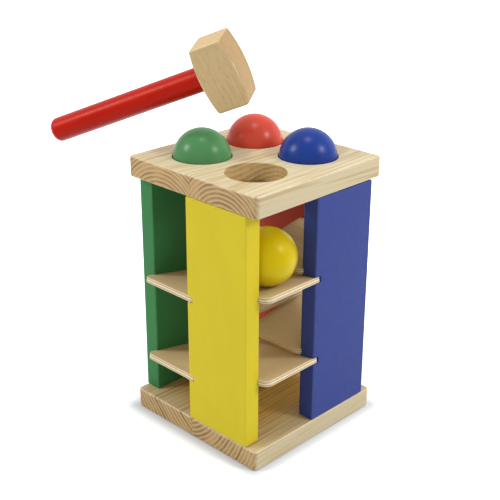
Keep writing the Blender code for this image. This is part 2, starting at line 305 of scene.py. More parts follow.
def finishOff(tree, shader, colour, roughness, height, strength, depth):
    feeds = {"Height": height, "Strength": strength, "Distance": depth}
    tree.links.new(colour, shader.inputs["Base Color"])
    tree.links.new(roughness, shader.inputs["Roughness"])
    tree.links.new(put(tree, "ShaderNodeBump", feeds).outputs[0], shader.inputs["Normal"])


def objectPlace(tree):
    return put(tree, "ShaderNodeTexCoord").outputs["Object"]


def objectNormal(tree):
    return put(tree, "ShaderNodeTexCoord").outputs["Normal"]


def inOwnFrame(tree, turn, middle):  # object coordinates seen from a turned piece's own axes
    back = turn.transposed()
    feeds = {"Vector": objectPlace(tree), "Location": -(back @ middle), "Rotation": back.to_euler("XYZ")}
    return put(tree, "ShaderNodeMapping", feeds, vector_type="POINT").outputs[0]


def fromBox(tree, place, box):  # coordinates from a box's middle, and half its size
    low, high = box
    return vec(tree, "SUBTRACT", place, (low + high) / 2), (high - low) / 2


# paler edges: wear, and on the boards and the hammer head also a painted highlight along the edges
def paintWearAndHighlight(tree, colour, pale, place, half, wearAndHighlight):
    feeds = {"Vector": place, "Half Size": half, "Width": wearAndHighlight["width"], "Raggedness": wearAndHighlight["ragged"]}
    edge = useGroup(tree, edgeWearAndHighlight, feeds)["Edge"]
    return blendColour(tree, times(tree, edge, wearAndHighlight["share"]), colour, pale)


def shaded(colour, factor, lift=0.0):
    return (*(min(1.0, part * factor + lift) for part in colour[:3]), 1.0)


pineSet = {
    "early": linear(211, 198, 164),
    "late": linear(176, 146, 96),
    "endEarly": linear(202, 169, 117),
    "endLate": linear(112, 78, 42),
    "edge": linear(238, 226, 198),
    "wearAndHighlight": {"width": 1.6 * mm, "ragged": 0.3, "share": 0.45},
    "square": (0.35, 0.92),  # how squarely a face looks along an axis
    "wander": 2.6 * mm,
    "fibre": 0.35,
    "clear": 0.14,
    "line": 0.42,
    "sideRings": 0.20,  # the long sides show the rings less than the faces do
    # painted shade: the long sides facing ±Y are made darker
    "paintedSideShade": 0.22,
    "boreReach": (0.1 * mm, 0.9 * mm),
    "boreRings": 0.90,
    "boreEnd": 0.50,  # between long grain and end grain, all the way round
    "boreTint": linear(255, 247, 226),
    "glue": (0.05 * mm, 0.35 * mm, 0.35, 0.0),
    "paintedFloorShade": linear(230, 204, 130),  # painted shade and golden bounce light on the base's floor inside the tower
    "shadeInside": (3 * mm, 42 * mm, 0.30, 1.0),  # how far in from the base's edges the painted shade deepens
    "upwards": (0.80, 0.98),
    "roughness": (0.58, 0.42),  # of early wood and of late wood
    "bump": (0.12, 0.3 * mm),  # strength and depth
}


def makePine(name, look, plate, box, bores=None):  # two staves of unlike trees
    finish, tree, shader = newFinish(name, specular=0.25)
    place = objectPlace(tree)
    x, y = parts(tree, place)[:2]
    far = calc(tree, "GREATER_THAN", y, plate["joint"])

    def ofStave(key):  # the near stave's value or the far one's
        near, beyond = [stave[key] for stave in plate["staves"]]
        if isinstance(near, tuple):
            return put(tree, "ShaderNodeMix", {0: far, 4: near, 5: beyond}, data_type="VECTOR").outputs[1]
        return blendValue(tree, far, near, beyond)

    lean = put(tree, "ShaderNodeVectorMath", {0: ofStave("tilt"), 3: x}, operation="SCALE").outputs[0]
    ringFeeds = {
        "Vector": vec(tree, "SUBTRACT", vec(tree, "SUBTRACT", place, ofStave("heart")), lean),
        "Ring Gap": ofStave("gap"),
        "Wander": look["wander"],
        "Slowing": ofStave("slowing"),
    }
    rings = useGroup(tree, growthRings, ringFeeds)
    late = times(tree, rings["Late"], ofStave("contrast"))
    facing = parts(tree, objectNormal(tree))
    endGrain = smooth(tree, unsigned(tree, facing[0]), *look["square"])
    side = smooth(tree, unsigned(tree, facing[1]), *look["square"])
    flat = smooth(tree, unsigned(tree, facing[2]), *look["square"], 1.0, plate["flatRings"])
    if bores:  # the balls have rubbed the walls of the holes
        apart = vec(tree, "SUBTRACT", vec(tree, "ABSOLUTE", place), bores["middle"])
        apart = vec(tree, "LENGTH", vec(tree, "MULTIPLY", apart, (1, 1, 0)), give="Value")
        wall = [bores["radius"] + reach for reach in look["boreReach"]]
        bored = smooth(tree, apart, *wall, 1.0, 0.0)
        late = times(tree, late, smooth(tree, bored, 0.0, 1.0, 1.0, look["boreRings"]))
        endGrain = blendValue(tree, bored, endGrain, look["boreEnd"])
        side = times(tree, side, minus(tree, 1.0, bored))
    shade = plus(tree, late, times(tree, rings["Fibre"], look["fibre"]))
    shade = minus(tree, shade, look["clear"], clamp=True)
    quiet = times(tree, smooth(tree, side, 0.0, 1.0, 1.0, look["sideRings"]), flat)
    # the painted shade darkens the long sides facing ±Y
    lined = plus(tree, times(tree, rings["Line"], look["line"]), times(tree, side, look["paintedSideShade"]))
    lined = plus(tree, times(tree, shade, quiet), lined, clamp=True)
    face = blendColour(tree, lined, look["early"], look["late"])
    end = blendColour(tree, shade, look["endEarly"], look["endLate"])
    wood = blendColour(tree, endGrain, face, end)
    if bores:
        wood = blendColour(tree, bored, wood, look["boreTint"], "MULTIPLY")
    seam = unsigned(tree, minus(tree, y, plate["joint"]))
    glue = smooth(tree, seam, *look["glue"])
    wood = blendColour(tree, glue, wood, look["endLate"])
    fromMiddle, half = fromBox(tree, place, box)
    # painted shade: the base's upward faces turn darker and more golden in from its edges
    if plate["paintedFloorShade"]:
        inside = parts(tree, vec(tree, "SUBTRACT", half, vec(tree, "ABSOLUTE", fromMiddle)))
        nearest = calc(tree, "MINIMUM", inside[0], inside[1])
        shadeInside = smooth(tree, nearest, *look["shadeInside"])
        shadeInside = times(tree, shadeInside, smooth(tree, facing[2], *look["upwards"]))
        wood = blendColour(tree, shadeInside, wood, look["paintedFloorShade"], "MULTIPLY")
    wood = paintWearAndHighlight(tree, wood, look["edge"], fromMiddle, half, look["wearAndHighlight"])
    roughness = smooth(tree, rings["Late"], 0.0, 1.0, *look["roughness"])
    finishOff(tree, shader, wood, roughness, rings["Height"], *look["bump"])
    return finish


paintSet = {
    "boardColour": {
        "yellow": linear(214, 193, 40),
        "blue": linear(54, 67, 132),
        "green": linear(56, 122, 68),
        "red": linear(207, 80, 60),
    },
    "ballColour": {
        "yellow": linear(204, 177, 0),
        "blue": linear(5, 48, 131),
        "green": linear(72, 130, 78),
        "red": linear(199, 66, 46),
    },
    "handleColour": linear(180, 18, 3),
    "board": {"roughness": (0.44, 0.58), "specular": 0.12, "streak": 0.35,
              "spread": 0.03, "bump": (0.05, 0.2 * mm)},
    # the boards' paler edges: wear, and a painted highlight along the eased edges
    "boardWearAndHighlight": {"width": 1.3 * mm, "ragged": 0.35, "share": 0.22},
    "ball": {"roughness": (0.28, 0.34), "specular": 0.25, "streak": 0.0,
             "spread": 0.05, "bump": (0.005, 0.2 * mm)},
    "yellowTint": (1.0, 0.95, 0.35),
    "handle": {"roughness": (0.32, 0.38), "specular": 0.30, "streak": 0.2,
               "spread": 0.05, "bump": (0.003, 0.2 * mm),
               "tint": (1.0, 0.36, 0.24)},  # thick lacquer colours its own gloss
}


def makePaint(name, colour, look, frameOf=objectPlace, box=None):
    finish, tree, shader = newFinish(name, specular=look["specular"], tint=look.get("tint", (1, 1, 1)))
    place = frameOf(tree)
    skin = useGroup(tree, paintSkin, {"Vector": place, "Streak": look["streak"]})
    darker = shaded(colour, 1 - look["spread"])
    lighter = shaded(colour, 1 + look["spread"], 0.002)
    paint = blendColour(tree, smooth(tree, skin["Tone"], *noiseSpan), darker, lighter)
    if box:
        fromMiddle, half = fromBox(tree, place, box)
        # paler edges: wear, and a painted highlight along the board's edges
        pale = shaded(colour, 0.8, 0.15)
        paint = paintWearAndHighlight(tree, paint, pale, fromMiddle, half, paintSet["boardWearAndHighlight"])
    roughness = smooth(tree, skin["Gloss"], *noiseSpan, *look["roughness"])
    finishOff(tree, shader, paint, roughness, skin["Height"], *look["bump"])
    return finish


def plainGrain(tree, place, look):  # wood without strong rings: its height, colour and roughness
    offHeart = vec(tree, "SUBTRACT", place, look["heart"])
    feeds = {"Vector": offHeart, "Ring Gap": look["ringGap"], "Wander": look["wander"]}
    rings = useGroup(tree, growthRings, feeds)
    shade = plus(tree, times(tree, rings["Late"], look["lateShade"]), rings["Fibre"])
    wood = blendColour(tree, smooth(tree, shade, *look["shadeSpan"]), look["pale"], look["dark"])
    return rings["Height"], wood, smooth(tree, rings["Fibre"], *noiseSpan, *look["roughness"])


plySet = {
    "pale": linear(222, 199, 152),
    "dark": linear(204, 177, 130),
    "core": linear(238, 223, 193),
    "glueLine": linear(118, 86, 56),
    "edgePale": linear(246, 236, 214),
    "veneerThick": 1.35 * mm,
    "glueThick": 0.42 * mm,
    "glueShade": 0.80,
    "heart": (0, -20 * mm, -190 * mm),
    "ringGap": 2.4 * mm,
    "wander": 9 * mm,
    "lateShade": 0.45,
    "shadeSpan": (0.35, 1.05),
    "coreCells": (620, 620, 900),
    "coreShade": (*noiseSpan, 0.0, 0.4),
    "rim": (0.75 * mm, 0.15 * mm),  # under a face, where the sanded edge is paler
    "skin": (0.10 * mm, 0.02 * mm),
    "rimShade": 0.6,
    "roughness": (0.50, 0.64),
    "bump": (0.15, 0.25 * mm),
}


def makePlywood(look, thick):  # three layers, read from each ramp's own coordinates
    finish, tree, shader = newFinish("threePly", specular=0.2)
    ply = put(tree, "ShaderNodeAttribute", attribute_name="plyCoord").outputs["Vector"]
    number = put(tree, "ShaderNodeAttribute", attribute_name="rampNumber").outputs["Fac"]
    shifted = vec(tree, "ADD", ply, joined(tree, number, number))  # each ramp from another sheet
    depth = unsigned(tree, parts(tree, ply)[2])
    height, veneer, roughness = plainGrain(tree, shifted, look)
    cross = smooth(tree, speckle(tree, shifted, look["coreCells"]), *look["coreShade"])
    core = blendColour(tree, cross, look["core"], look["dark"])
    boundary = thick / 2 - look["veneerThick"]
    layered = blendColour(tree, calc(tree, "LESS_THAN", depth, boundary), veneer, core)
    fromGlue = unsigned(tree, minus(tree, depth, boundary))
    glue = smooth(tree, fromGlue, 0.0, look["glueThick"], 1.0, 0.0)
    layered = blendColour(tree, times(tree, glue, look["glueShade"]), layered, look["glueLine"])
    rim = smooth(tree, depth, *[thick / 2 - under for under in look["rim"]])
    offFace = smooth(tree, depth, *[thick / 2 - under for under in look["skin"]], 1.0, 0.0)
    pale = times(tree, times(tree, rim, offFace), look["rimShade"])
    layered = blendColour(tree, pale, layered, look["edgePale"])
    finishOff(tree, shader, layered, roughness, height, *look["bump"])
    return finish


hardwoodSet = {
    "pale": linear(213, 184, 135),
    "dark": linear(203, 173, 125),
    "pore": linear(170, 136, 90),
    # the head's pale edges: wear, and a painted highlight along the arrises
    "edge": linear(246, 228, 190),
    "wearAndHighlight": {"width": 1.8 * mm, "ragged": 0.3, "share": 0.45},
    "paintedCrownShade": linear(208, 199, 186),  # painted shade: the rounded faces are darkened
    "crownSpan": (0.5, 0.95),
    "heart": (0, 34 * mm, 21 * mm),
    "ringGap": 7.0 * mm,
    "wander": 8.0 * mm,
    "lateShade": 0.25,
    "shadeSpan": (0.28, 0.95),
    "poreCells": (150, 1900, 1900),
    "pitted": (0.58, 0.72, 0.0, 0.6),
    "poreDepth": 0.3,
    "roughness": (0.42, 0.56),
    "bump": (0.12, 0.25 * mm),
}


def makeHardwood(name, look, turn, middle, half=None):  # grain along the piece's own Z
    finish, tree, shader = newFinish(name, specular=0.25)
    own = inOwnFrame(tree, turn, middle)
    x, y, z = parts(tree, own)
    grain = joined(tree, z, x, y)
    height, wood, roughness = plainGrain(tree, grain, look)
    pores = speckle(tree, grain, look["poreCells"], 1.0)
    pitted = smooth(tree, pores, *look["pitted"])
    wood = blendColour(tree, pitted, wood, look["pore"])
    if half:
        # painted shade on the head's rounded faces
        across = vec(tree, "DOT_PRODUCT", objectNormal(tree), turn.col[0], "Value")
        paintedCrownShade = smooth(tree, unsigned(tree, across), *look["crownSpan"])
        wood = blendColour(tree, paintedCrownShade, wood, look["paintedCrownShade"], "MULTIPLY")
        wood = paintWearAndHighlight(tree, wood, look["edge"], own, half, look["wearAndHighlight"])
    height = minus(tree, height, times(tree, pores, look["poreDepth"]))
    finishOff(tree, shader, wood, roughness, height, *look["bump"])
    return finish


rubberSet = {
    "shine": {"specular": 0.35},
    "cells": [1500] * 3,
    "detail": (3.0, 0.65),
    "span": (0.4, 0.8),
    "colours": (linear(132, 104, 60), linear(152, 124, 78)),
    "roughness": (0.72, 0.88),
    "bump": (0.2, 0.15 * mm),
}
zincSet = {
    "shine": {"metallic": 1.0},
    "cells": [420] * 3,
    "detail": (4.0, 0.6),
    "span": noiseSpan,
    "colours": (linear(206, 202, 190), linear(176, 170, 152)),
    "roughness": (0.26, 0.46),
    "bump": (0.1, 0.05 * mm),
}


def makeSpeckled(name, look):  # dusty rubber, or zinc with its bloom
    finish, tree, shader = newFinish(name, **look["shine"])
    grit = speckle(tree, objectPlace(tree), look["cells"], *look["detail"])
    colour = blendColour(tree, smooth(tree, grit, *look["span"]), *look["colours"])
    roughness = smooth(tree, grit, *noiseSpan, *look["roughness"])
    finishOff(tree, shader, colour, roughness, grit, *look["bump"])
    return finish


# Mesh helpers


def looseObject(name, mesh):
    thing = bpy.data.objects.new(name, mesh)
    scene.collection.objects.link(thing)
    return thing


def toMesh(shell, name, turnOut=True):
    if turnOut:
        bmesh.ops.recalc_face_normals(shell, faces=shell.faces)
    mesh = bpy.data.meshes.new(name)
    shell.to_mesh(mesh)
    shell.free()
    return mesh


def evaluatedMesh(thing):
    graph = bpy.context.evaluated_depsgraph_get()
    return bpy.data.meshes.new_from_object(thing.evaluated_get(graph))


def carve(mesh, cutter):  # one closed mesh taken out of another
    block = looseObject("block", mesh)
    tool = looseObject("tool", cutter)
    boolean = block.modifiers.new("carve", "BOOLEAN")
    boolean.operation = "DIFFERENCE"
    boolean.solver = "EXACT"
    boolean.object = tool
    carved = evaluatedMesh(block)
    bpy.data.objects.remove(block)
    bpy.data.objects.remove(tool)
    return carved


def bridge(shell, first, second):  # faces between two rings, or between a ring and a point
    count = max(len(first), len(second))
    for spot in range(count):
        after = (spot + 1) % count
        if len(first) == 1:
            shell.faces.new((first[0], second[after], second[spot]))
        elif len(second) == 1:
            shell.faces.new((first[spot], first[after], second[0]))
        else:
            shell.faces.new((first[spot], first[after], second[after], second[spot]))


def addTurned(shell, profile, steps, place=(0, 0, 0), closed=False):  # radius and height pairs, top first
    rings = []
    for radius, height in profile:
        turns = steps if radius > 0 else 1
        ring = []
        for step in range(turns):
            angle = math.tau * step / steps
            spot = Vector((radius * math.cos(angle), radius * math.sin(angle), height))
            ring.append(shell.verts.new(spot + Vector(place)))
        rings.append(ring)
    pairs = list(zip(rings, rings[1:]))
    if closed:
        pairs.append((rings[-1], rings[0]))
    for upper, lower in pairs:
        bridge(shell, upper, lower)


def roundedPlate(low, high, look):  # a square-edged board with rounded corners and eased edges
    edge = look["edge"]
    levels = []
    for step in range(look["edgeSteps"] + 1):
        angle = step / look["edgeSteps"] * quarterTurn
        levels.append((edge * (1 - math.sin(angle)), low.z + edge * (1 - math.cos(angle))))
    levels += [(inset, low.z + high.z - z) for inset, z in reversed(levels)]
    half, middle = (high - low) / 2, (high + low) / 2
    shell = bmesh.new()
    rings = []
    for inset, z in levels:
        ring = []
        for turn, (sideX, sideY) in enumerate(((1, 1), (-1, 1), (-1, -1), (1, -1))):
            corner = look["corners"][turn]
            for step in range(look["cornerSteps"] + 1):
                angle = (turn + step / look["cornerSteps"]) * quarterTurn
                x = middle.x + sideX * (half.x - corner) + (corner - inset) * math.cos(angle)
                y = middle.y + sideY * (half.y - corner) + (corner - inset) * math.sin(angle)
                ring.append(shell.verts.new((x, y, z)))
        rings.append(ring)
    for lower, upper in zip(rings, rings[1:]):
        bridge(shell, lower, upper)
    shell.faces.new(list(reversed(rings[0])))
    shell.faces.new(rings[-1])
    return shell


def ownBox(node, turn, middle):  # a node's lowest and highest corners along turned axes
    back = turn.transposed()
    spots = np.array([back @ (v.co - middle) for v in frame["nodes"][node].data.vertices])
    return Vector(spots.min(0)), Vector(spots.max(0))


def makePiece(name, mesh, finish, body, stands, crease=38.0):
    mesh.name = name
    mesh.materials.clear()
    mesh.materials.append(finish)
    mesh.shade_smooth()
    mesh.set_sharp_from_angle(angle=math.radians(crease))
    piece = looseObject(name, mesh)
    even = piece.modifiers.new("evenShading", "WEIGHTED_NORMAL")
    even.keep_sharp = True
    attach(piece, body)
    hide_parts(*stands)


def realise(tree, out, instances, material):  # how each geometry tree ends
    real = put(tree, "GeometryNodeRealizeInstances", {"Geometry": instances}).outputs[0]
    faced = put(tree, "GeometryNodeSetMaterial", {"Geometry": real, "Material": material}).outputs[0]
    tree.links.new(faced, out["Geometry"])


def fromTree(name, tree, values):  # runs a geometry tree once and keeps its mesh
    holder = looseObject(name, bpy.data.meshes.new(name))
    modifier = holder.modifiers.new(name, "NODES")
    modifier.node_group = tree
    for item in tree.interface.items_tree:
        if item.item_type == "SOCKET" and item.in_out == "INPUT" and item.name in values:
            modifier[item.identifier] = values[item.name]
    mesh = evaluatedMesh(holder)
    bpy.data.objects.remove(holder)
    return mesh


# Top and base plates

plateSet = {"corners": [4.0 * mm] * 4, "edge": 1.5 * mm, "cornerSteps": 10, "edgeSteps": 5}
rimSet = {"round": 0.9 * mm, "steps": 6, "sweep": 80.0, "flare": 1.6 * mm}  # sweep in degrees
holeSet = {"radius": 25.0 * mm, "steps": 96, "fit": 0.3 * mm, "past": 1.0 * mm}  # cut past the face
topSet = {
    "joint": -0.9 * mm,
    "flatRings": 0.80,
    "paintedFloorShade": False,
    "staves": (
        {"heart": (0, -38 * mm, 197 * mm), "tilt": (0, 0.015, -0.03),
         "gap": 4.4 * mm, "slowing": 3.0, "contrast": 0.86},
        {"heart": (0, 31 * mm, 194 * mm), "tilt": (0, -0.02, 0.04),
         "gap": 4.5 * mm, "slowing": 3.0, "contrast": 0.86},
    ),
}
baseSet = {
    "joint": 2.5 * mm,
    "flatRings": 0.80,
    "paintedFloorShade": True,
    "staves": (
        {"heart": (0, 15 * mm, 44 * mm), "tilt": (0, 0.02, 0.03),
         "gap": 4.2 * mm, "slowing": 1.0, "contrast": 0.9},
        {"heart": (0, -100 * mm, 140 * mm), "tilt": (0, -0.015, 0.02),
         "gap": 4.6 * mm, "slowing": 0.2, "contrast": 1.0},
    ),
}
holeNames = ("front", "right", "back", "left")


def ringPlace(hole):
    low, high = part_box(hole + "_grip_ring")
    return (low + high) / 2, low, high


def boardFasteners(kind):  # each one's box, and where its axis stands
    for colour in colours:
        for number in (1, 2):
            low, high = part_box(f"{colour}_board_{kind}_{number}")
            yield low, high, ((low.x + high.x) / 2, (low.y + high.y) / 2, 0)


def makeTopPlate():
    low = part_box("top_front_block")[0]
    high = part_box("top_back_block")[1]
    radius, rim, fit = holeSet["radius"], rimSet["round"], holeSet["fit"]
    above, below = high.z + fit, low.z - holeSet["past"]
    cutter = bmesh.new()
    for hole in holeNames:
        middle, ringLow, ringHigh = ringPlace(hole)
        seat = (ringHigh.x - ringLow.x) / 2 + fit
        shelf = ringHigh.z + fit
        profile = [(0, above), (radius + rim + rimSet["flare"], above)]
        for step in range(rimSet["steps"] + 1):
            angle = (1 - step / rimSet["steps"]) * math.radians(rimSet["sweep"])
            profile.append((radius + rim * (1 - math.cos(angle)), high.z - rim * (1 - math.sin(angle))))
        profile += [(radius, shelf), (seat, shelf), (seat, below), (0, below)]
        addTurned(cutter, profile, holeSet["steps"], (middle.x, middle.y, 0))
    for dowelLow, dowelHigh, place in boardFasteners("dowel"):
        wide = (dowelHigh.x - dowelLow.x) / 2 + fit
        deep = dowelHigh.z + fit
        profile = [(0, deep), (wide, deep), (wide, below), (0, below)]
        addTurned(cutter, profile, steps=24, place=place)
    plate = toMesh(roundedPlate(low, high, plateSet), "topPlate")
    bores = {"middle": [abs(part) for part in ringPlace("front")[0]], "radius": radius}
    finish = makePine("topPine", pineSet, topSet, (low, high), bores)
    stands = [f"top_{hole}_block" for hole in holeNames]
    makePiece("topPlate", carve(plate, toMesh(cutter, "holes")), finish, "tower", stands)


def makeBasePlate():
    low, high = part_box("base_plate")
    above, below = high.z + holeSet["past"], low.z - holeSet["past"]
    cutter = bmesh.new()
    for screwLow, screwHigh, place in boardFasteners("screw"):
        head = (screwHigh.x - screwLow.x) / 2 + holeSet["fit"]
        shank = head / 2
        shoulder = screwLow.z + head - shank
        profile = [(0, above), (shank, above), (shank, shoulder), (head, screwLow.z)]
        addTurned(cutter, profile + [(head, below), (0, below)], steps=32, place=place)
    plate = carve(toMesh(roundedPlate(low, high, plateSet), "basePlate"), toMesh(cutter, "screwHoles"))
    finish = makePine("basePine", pineSet, baseSet, (low, high))
    makePiece("basePlate", plate, finish, "tower", ["base_plate"])


makeTopPlate()
makeBasePlate()
print("plates made")


# Four painted boards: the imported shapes, merged and shaded evenly


def makeBoards():
    for colour in colours:
        node = colour + "_side_board"
        shell = bmesh.new()
        shell.from_mesh(frame["nodes"][node].data)
        bmesh.ops.remove_doubles(shell, verts=shell.verts, dist=0.004 * mm)
        flat = math.radians(0.3)
        bmesh.ops.dissolve_limit(shell, angle_limit=flat, verts=shell.verts, edges=shell.edges)
        tint = paintSet["boardColour"][colour]
        finish = makePaint(colour + "BoardPaint", tint, paintSet["board"], box=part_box(node))
        mesh = toMesh(shell, node, turnOut=False)
        makePiece(colour + "Board", mesh, finish, "tower", [node])


makeBoards()
print("boards made")


# Spiral stair: one ramp, repeated a quarter turn on and one pitch lower each time

rampSet = {
    "corners": (2 * mm, 6 * mm, 6 * mm, 2 * mm),
    "edge": 0.45 * mm,
    "cornerSteps": 8,
    "edgeSteps": 3,
    "count": 8,
}


def makeStairTree():
    takes = {
        "Ramp": ("Object", None),
        "Count": ("Int", 8),
        "Pitch": ("Float", 19 * mm),
        "Ply": ("Material", None),
    }
    tree, has, out = newGroup("spiralStair", takes, ["Geometry"], "GeometryNodeTree")
    lineFeeds = {
        "Count": has["Count"],
        "Start Location": joined(tree, z=has["Pitch"]),
        "Offset": joined(tree, z=times(tree, has["Pitch"], -1.0)),
    }
    line = put(tree, "GeometryNodeMeshLine", lineFeeds).outputs[0]
    index = put(tree, "GeometryNodeInputIndex").outputs[0]
    turn = times(tree, minus(tree, 1.0, index), quarterTurn)
    ramp = put(tree, "GeometryNodeObjectInfo", {"Object": has["Ramp"]}).outputs["Geometry"]
    feeds = {"Points": line, "Instance": ramp, "Rotation": joined(tree, z=turn)}
    placed = put(tree, "GeometryNodeInstanceOnPoints", feeds).outputs[0]
    feeds = {"Geometry": placed, "Name": "rampNumber", "Value": index}
    settings = {"data_type": "FLOAT", "domain": "INSTANCE"}
    numbered = put(tree, "GeometryNodeStoreNamedAttribute", feeds, **settings).outputs[0]
    realise(tree, out, numbered, has["Ply"])
    return tree


def makeStair():
    downhill = Vector(joints["yellow_ball_roll"]["axis"]).normalized()  # the ball rolls along its ramp
    across = Vector((1, 0, 0))
    axes = Matrix((across, downhill, across.cross(downhill))).transposed()
    low, high = ownBox("ramp_2", axes, Vector())
    ramp = toMesh(roundedPlate(low, high, rampSet), "ramp")
    middle = (low + high) / 2
    ply = ramp.attributes.new("plyCoord", "FLOAT_VECTOR", "POINT")
    ply.data.foreach_set("vector", [part for v in ramp.vertices for part in v.co - middle])
    ramp.transform(axes.to_4x4())
    pattern = looseObject("rampPattern", ramp)
    pitch = (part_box("ramp_2")[1].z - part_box("ramp_6")[1].z) / 4
    finish = makePlywood(plySet, high.z - low.z)
    values = {"Ramp": pattern, "Count": rampSet["count"], "Pitch": pitch, "Ply": finish}
    stair = fromTree("spiralStair", makeStairTree(), values)
    bpy.data.objects.remove(pattern)
    stands = [f"ramp_{number}" for number in range(1, rampSet["count"] + 1)]
    makePiece("rampStair", stair, finish, "tower", stands)


makeStair()
print("stair made")


# Grip rings under the holes

gripSet = {"round": 0.6 * mm, "roundSteps": 4, "steps": 96}


def makeGripRings(finish):
    rounded = gripSet["round"]
    for hole in holeNames:
        middle, low, high = ringPlace(hole)
        outer = (high.x - low.x) / 2
        points = np.array([v.co for v in frame["nodes"][hole + "_grip_ring"].data.vertices])
        bore = np.hypot(points[:, 0] - middle.x, points[:, 1] - middle.y).min()
        corners = ((outer, high.z, 0), (outer, low.z, -1), (bore, low.z, -2), (bore, high.z, -3))
        profile = []
        for radius, z, turn in corners:
            inX = radius + (-rounded if radius == outer else rounded)
            inZ = z + (-rounded if z == high.z else rounded)
            for step in range(gripSet["roundSteps"] + 1):
                angle = (turn + 1 - step / gripSet["roundSteps"]) * quarterTurn
                profile.append((inX + rounded * math.cos(angle), inZ + rounded * math.sin(angle)))
        shell = bmesh.new()
        addTurned(shell, profile, gripSet["steps"], (middle.x, middle.y, 0), closed=True)
        mesh = toMesh(shell, hole + "Grip")
        makePiece(hole + "GripRing", mesh, finish, "tower", [hole + "_grip_ring"])


makeGripRings(makeSpeckled("gripRubber", rubberSet))
print("grip rings made")


# Screws up through the base and dowels into the top, two to a board

screwSet = {
    "columns": 24,
    "rows": 96,
    "threadPitch": 1.8 * mm,
    "threadDepth": 0.55 * mm,
    "plain": 12 * mm,  # from under the head to where the thread starts
    "runIn": 2 * mm,
    "point": 6 * mm,
    "blunt": 0.04,
    "headEdge": (0.25 * mm, 0.2 * mm),  # in and up
    "tipGap": 0.2 * mm,
    "crossArm": (1.15, 0.26),  # shares of the head's radius
    "crossDeep": 3 * mm,
}
dowelSet = {"flutes": 18, "fluteDepth": 0.25 * mm, "columns": 72, "chamfer": 1.0 * mm}


def makeFastenerTree():
    takes = {
        "Fastener": ("Object", None),
        "Along": ("Float", 28 * mm),
        "Out": ("Float", 65 * mm),
        "Spread": ("Float", 40 * mm),
        "Finish": ("Material", None),
    }
    tree, has, out = newGroup("fastenerPairs", takes, ["Geometry"], "GeometryNodeTree")
    first = minus(tree, has["Along"], times(tree, has["Spread"], 0.5))
    pairFeeds = {
        "Count": 2,
        "Start Location": joined(tree, first, times(tree, has["Out"], -1.0)),
        "Offset": joined(tree, has["Spread"]),
    }
    pair = put(tree, "GeometryNodeMeshLine", pairFeeds).outputs[0]
    pattern = put(tree, "GeometryNodeObjectInfo", {"Object": has["Fastener"]}).outputs["Geometry"]
    two = put(tree, "GeometryNodeInstanceOnPoints", {"Points": pair, "Instance": pattern}).outputs[0]
    four = put(tree, "GeometryNodeMeshLine", {"Count": 4, "Offset": (0, 0, 0)}).outputs[0]
    turn = times(tree, put(tree, "GeometryNodeInputIndex").outputs[0], quarterTurn)
    feeds = {"Points": four, "Instance": two, "Rotation": joined(tree, z=turn)}
    around = put(tree, "GeometryNodeInstanceOnPoints", feeds).outputs[0]
    realise(tree, out, around, has["Finish"])
    return tree


def crossRecess(head, z):  # two crossed bars, remeshed as one closed cutter
    recess = bmesh.new()
    bar = Matrix.Diagonal((*(head * share for share in screwSet["crossArm"]), screwSet["crossDeep"], 1))
    for turn in (0, quarterTurn):
        arm = Matrix.Translation((0, 0, z)) @ Matrix.Rotation(turn, 4, "Z")
        bmesh.ops.create_cube(recess, size=1.0, matrix=arm @ bar)
    cross = looseObject("cross", toMesh(recess, "cross"))
    joinUp = cross.modifiers.new("own", "REMESH")
    joinUp.mode = "SHARP"
    joinUp.octree_depth = 5
    tool = evaluatedMesh(cross)
    bpy.data.objects.remove(cross)
    return tool


def screwMesh(low, high):  # head down at low.z, with a turned thread and a cross recess
    head = (high.x - low.x) / 2
    shank = head / 2
    neck, tip = low.z + head - shank, high.z
    edgeIn, edgeUp = screwSet["headEdge"]
    shell = bmesh.new()
    rings = [[shell.verts.new((0, 0, low.z))]]
    heights = [(low.z, head - edgeIn), (low.z + edgeUp, head), (neck, shank)]
    for row in range(1, screwSet["rows"] + 1):
        heights.append((neck + (tip - neck - screwSet["tipGap"]) * row / screwSet["rows"], shank))
    for z, radius in heights:
        ring = []
        for column in range(screwSet["columns"]):
            angle = math.tau * column / screwSet["columns"]
            reach = radius
            if z > neck:
                phase = (z / screwSet["threadPitch"] - angle / math.tau) % 1.0
                cutIn = min(1.0, max(0.0, (z - low.z - screwSet["plain"]) / screwSet["runIn"]))
                ridge = max(0.0, 1 - abs(phase - 0.5) * 4)
                reach = radius - screwSet["threadDepth"] * cutIn * (1 - ridge)
                reach *= min(1.0, (tip - z) / screwSet["point"] + screwSet["blunt"])
            ring.append(shell.verts.new((reach * math.cos(angle), reach * math.sin(angle), z)))
        rings.append(ring)
    rings.append([shell.verts.new((0, 0, tip))])
    for lower, upper in zip(rings, rings[1:]):
        bridge(shell, lower, upper)
    return carve(toMesh(shell, "screw"), crossRecess(head, low.z))


def dowelMesh(low, high):
    radius = (high.x - low.x) / 2
    chamfer = dowelSet["chamfer"]
    shell = bmesh.new()
    profile = [(0, high.z), (radius - chamfer, high.z), (radius, high.z - chamfer)]
    profile += [(radius, low.z + chamfer), (radius - chamfer, low.z), (0, low.z)]
    addTurned(shell, profile, dowelSet["columns"])
    for v in shell.verts:
        out = math.hypot(v.co.x, v.co.y)
        if out > radius - 0.5 * chamfer:
            wave = 0.5 - 0.5 * math.cos(dowelSet["flutes"] * math.atan2(v.co.y, v.co.x))
            v.co.xy *= 1 - dowelSet["fluteDepth"] * wave / out
    return toMesh(shell, "dowel")


